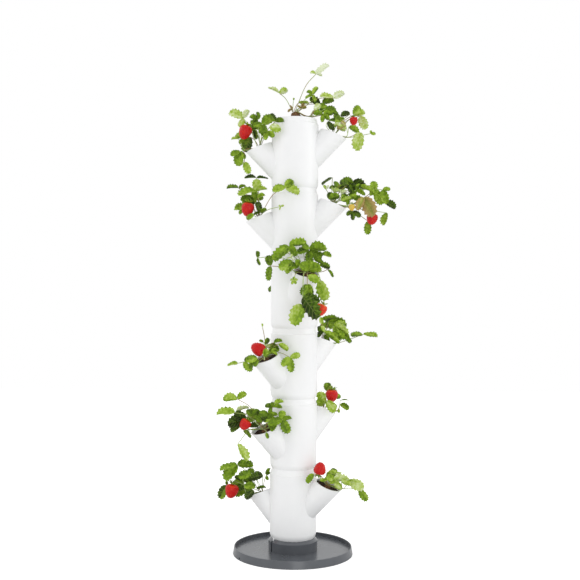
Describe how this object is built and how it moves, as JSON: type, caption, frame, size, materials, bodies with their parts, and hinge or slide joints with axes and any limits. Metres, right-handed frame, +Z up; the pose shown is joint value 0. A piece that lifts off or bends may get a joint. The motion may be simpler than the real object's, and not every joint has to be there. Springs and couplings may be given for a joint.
{
  "type": "vertical planter tower",
  "caption": "White tower planter stacked from round storeys with slanting pockets on opposite sides, on a grey water saucer, filled with soil and planted with strawberries.",
  "frame": {"origin": "on the ground, on the tower's axis, under the middle of the saucer", "axes": "+Z up along the tower's axis; the picture looks along +Y, with +X to its right"},
  "size_m": [0.4559, 0.31, 1.2735],
  "materials": {
    "white_shell": "satin moulded white polypropylene",
    "grey_base": "fine-grained dark grey polypropylene",
    "soil": "moist peat and bark potting mix",
    "leaf": "strawberry leaves, matte green",
    "berry": "glossy red strawberry skin"
  },
  "bodies": {
    "base": {"saucer": "grey_base", "base_collar": "grey_base", "drain_grate": "grey_base"},
    "storey_1_body": {"storey_1": "white_shell", "soil_1": "soil", "plant_1_low": "leaf", "plant_1_high": "leaf", "berries_1_low": "berry", "berries_1_high": "berry"},
    "storey_2_body": {"storey_2": "white_shell", "soil_2": "soil", "plant_2_low": "leaf", "plant_2_high": "leaf", "berries_2_low": "berry", "berries_2_high": "berry"},
    "storey_3_body": {"storey_3": "white_shell", "soil_3": "soil", "plant_3_low": "leaf", "plant_3_high": "leaf", "berries_3_low": "berry"},
    "storey_4_body": {"storey_4": "white_shell", "soil_4": "soil", "plant_4_low": "leaf", "plant_4_high": "leaf", "berries_4_low": "berry", "berries_4_high": "berry"},
    "storey_5_body": {"storey_5": "white_shell", "soil_5": "soil", "plant_5_low": "leaf", "plant_5_high": "leaf", "berries_5_low": "berry", "berries_5_high": "berry"},
    "storey_6_body": {"storey_6": "white_shell", "soil_6": "soil", "plant_6_low": "leaf", "plant_6_high": "leaf", "berries_6_low": "berry", "berries_6_high": "berry", "plant_top": "leaf"}
  },
  "joints": [
    {"name": "storey_1_lift", "type": "slide", "parent": "base", "child": "storey_1_body", "axis": [0, 0, 1], "range_m": [0, 0.03]},
    {"name": "storey_2_turn", "type": "hinge", "parent": "storey_1_body", "child": "storey_2_body", "pos_m": [0, 0, 0.2225], "axis": [0, 0, 1], "continuous": true},
    {"name": "storey_3_turn", "type": "hinge", "parent": "storey_2_body", "child": "storey_3_body", "pos_m": [0, 0, 0.403], "axis": [0, 0, 1], "continuous": true},
    {"name": "storey_4_turn", "type": "hinge", "parent": "storey_3_body", "child": "storey_4_body", "pos_m": [0, 0, 0.5835], "axis": [0, 0, 1], "continuous": true},
    {"name": "storey_5_turn", "type": "hinge", "parent": "storey_4_body", "child": "storey_5_body", "pos_m": [0, 0, 0.764], "axis": [0, 0, 1], "continuous": true},
    {"name": "storey_6_turn", "type": "hinge", "parent": "storey_5_body", "child": "storey_6_body", "pos_m": [0, 0, 0.9445], "axis": [0, 0, 1], "continuous": true}
  ]
}
